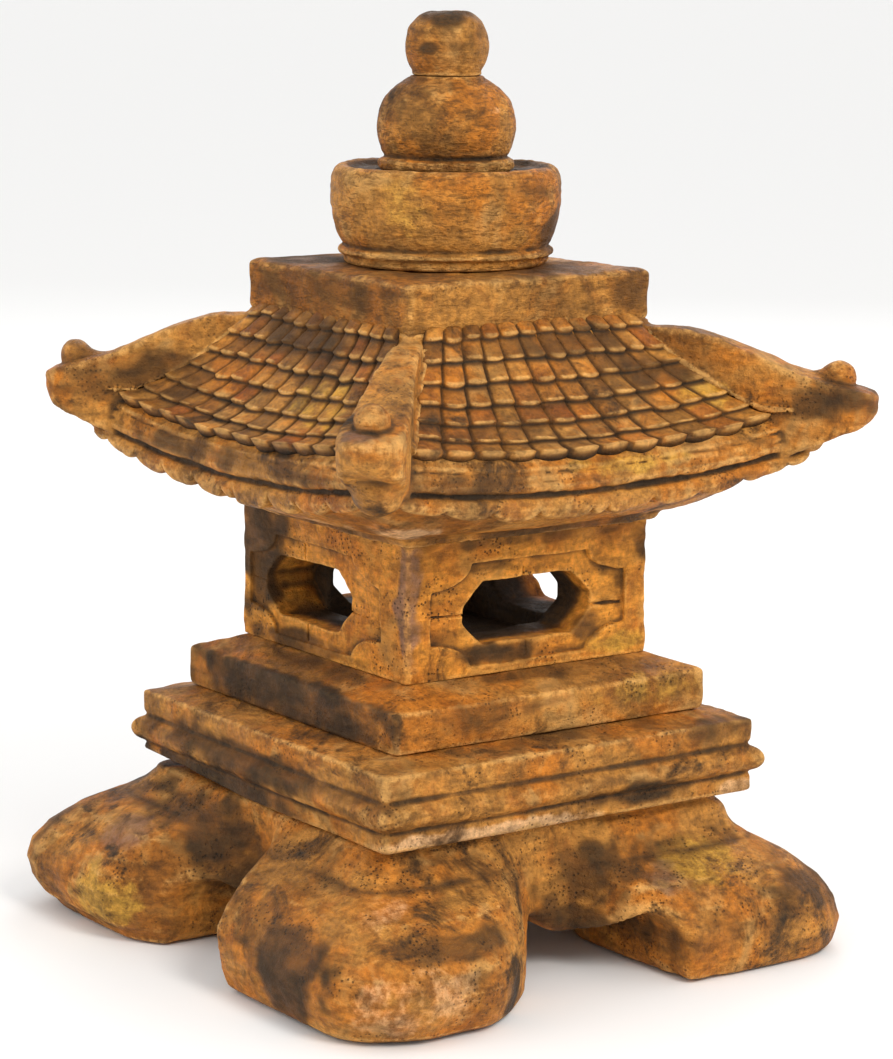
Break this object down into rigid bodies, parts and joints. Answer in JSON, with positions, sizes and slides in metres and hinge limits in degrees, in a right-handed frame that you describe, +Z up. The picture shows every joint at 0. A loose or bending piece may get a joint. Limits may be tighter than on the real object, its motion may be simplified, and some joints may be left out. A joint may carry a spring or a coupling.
{
  "type": "stone garden lantern",
  "caption": "Dry-stacked pagoda garden lantern in weathered cast stone: legged foot, moulded platform, windowed fire box, tiled hip roof and jewel finial.",
  "frame": {"origin": "on the ground, under the middle of the lantern's bounding box, on the axis through the finial", "axes": "+Z up along the lantern's axis; the square stones have their faces along X and Y"},
  "size_m": [0.378, 0.378, 0.528],
  "materials": {
    "foot_stone": "weathered cast stone, brown with ochre patches and near-black stains",
    "platform_stone": "weathered cast stone, golden ochre with dark stained recesses",
    "fire_box_stone": "weathered cast stone, orange ochre with small dark pits",
    "roof_stone": "weathered cast stone, umber with rust and tan worn tile edges",
    "finial_stone": "weathered cast stone, ochre, finely ribbed like dried slip"
  },
  "bodies": {
    "foot": {"foot_stone": "foot_stone"},
    "platform": {"platform_stone": "platform_stone", "step_stone": "platform_stone"},
    "fire_box": {"fire_box": "fire_box_stone"},
    "roof": {"roof_stone": "roof_stone", "cap_slab": "finial_stone"},
    "bowl": {"finial_bowl": "finial_stone"},
    "jewel": {"finial_jewel": "finial_stone", "finial_tip": "finial_stone"}
  },
  "joints": [
    {"name": "platform_lift", "type": "slide", "parent": "foot", "child": "platform", "axis": [0, 0, 1], "range_m": [0, 0.03]},
    {"name": "fire_box_lift", "type": "slide", "parent": "platform", "child": "fire_box", "axis": [0, 0, 1], "range_m": [0, 0.03]},
    {"name": "roof_lift", "type": "slide", "parent": "fire_box", "child": "roof", "axis": [0, 0, 1], "range_m": [0, 0.1]},
    {"name": "bowl_lift", "type": "slide", "parent": "roof", "child": "bowl", "axis": [0, 0, 1], "range_m": [0, 0.03]},
    {"name": "jewel_lift", "type": "slide", "parent": "bowl", "child": "jewel", "axis": [0, 0, 1], "range_m": [0, 0.03]}
  ]
}
